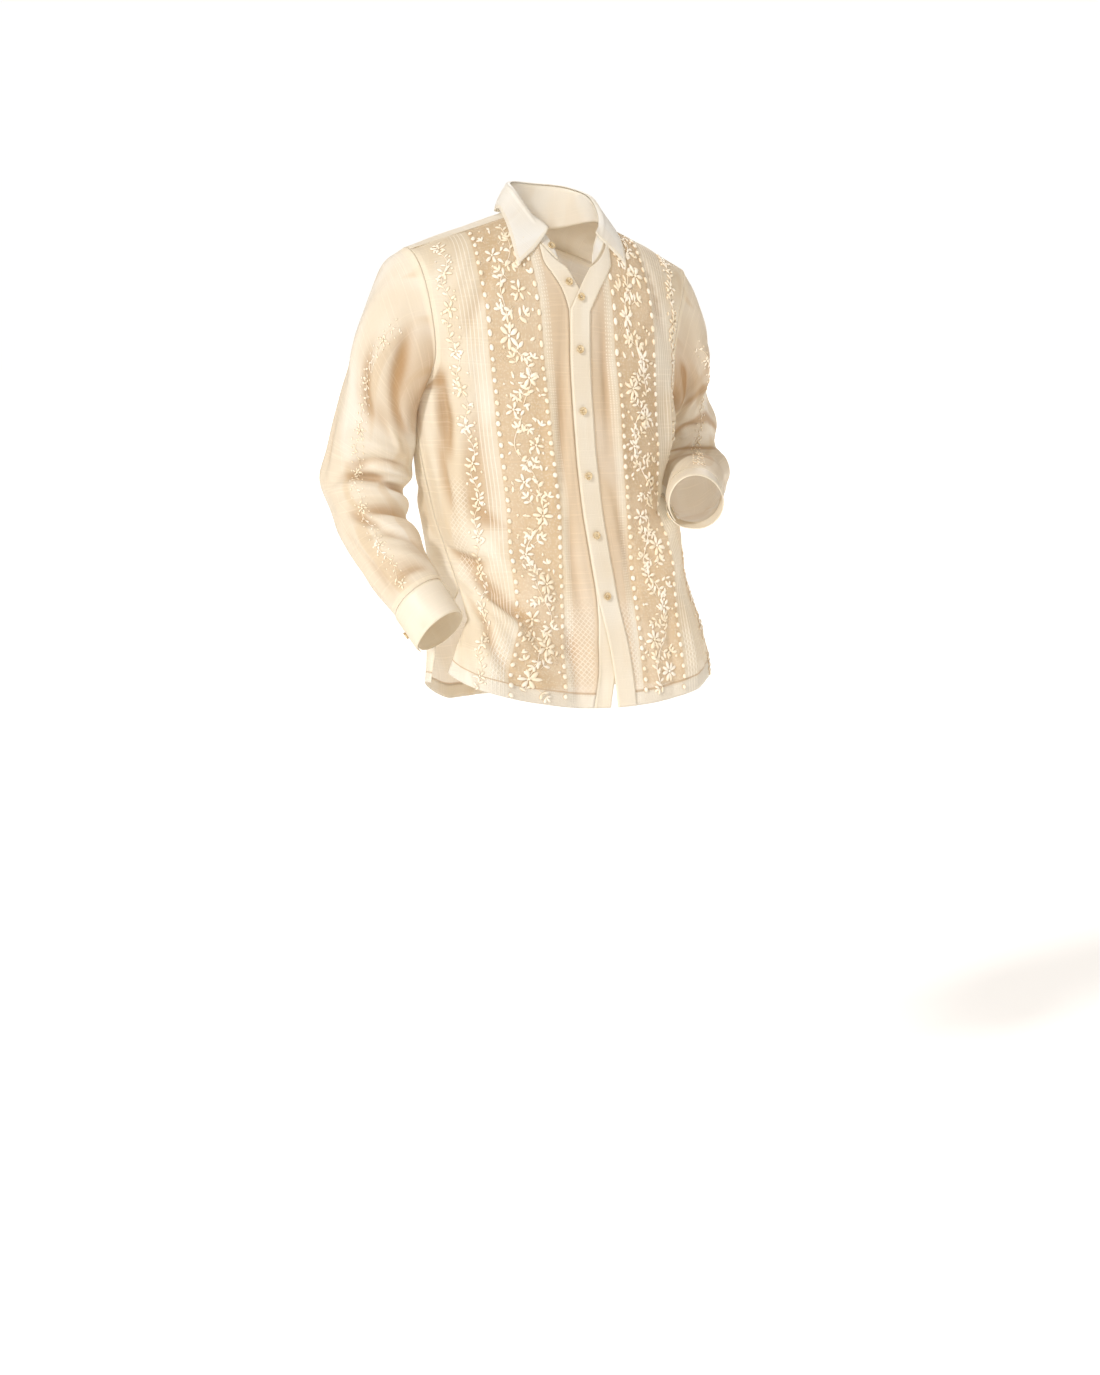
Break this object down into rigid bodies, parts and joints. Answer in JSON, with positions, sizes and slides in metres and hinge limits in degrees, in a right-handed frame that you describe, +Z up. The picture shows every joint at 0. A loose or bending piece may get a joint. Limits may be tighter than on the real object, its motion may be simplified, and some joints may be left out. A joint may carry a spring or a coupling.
{
  "type": "barong tagalog shirt",
  "caption": "Sheer long-sleeved embroidered barong tagalog shirt with pointed collar, button bands and cuffs, in the hollow form it has when worn.",
  "frame": {"origin": "middle of the neck opening, level with the shoulder ridge beside the collar: where the wearer's neck and shoulders carry the shirt", "axes": "+Z up along the body, -Y towards the front, +X towards the wearer's left"},
  "size_m": [0.6678, 0.3384, 0.7446],
  "materials": {
    "pina_cloth": "sheer cream pina cloth, matt, with raised cream embroidery",
    "band_cloth": "interfaced cream cloth, matt and nearly opaque",
    "button_shell": "tan shell, satin"
  },
  "bodies": {
    "root": {"front_right": "pina_cloth", "front_left": "pina_cloth", "back": "pina_cloth", "yoke": "pina_cloth", "sleeve_right": "pina_cloth", "sleeve_left": "pina_cloth", "hem_front_right": "pina_cloth", "hem_front_left": "pina_cloth", "hem_back": "pina_cloth", "cuff_right": "band_cloth", "cuff_left": "band_cloth", "collar_stand": "band_cloth", "collar_leaf": "band_cloth", "placket_right": "band_cloth", "placket_left": "band_cloth", "button_under": "button_shell", "button_front_1": "button_shell", "button_front_2": "button_shell", "button_front_3": "button_shell", "button_front_4": "button_shell", "button_front_5": "button_shell", "button_front_6": "button_shell", "button_collar": "button_shell", "button_cuff_right": "button_shell", "button_cuff_left": "button_shell"}
  },
  "joints": []
}
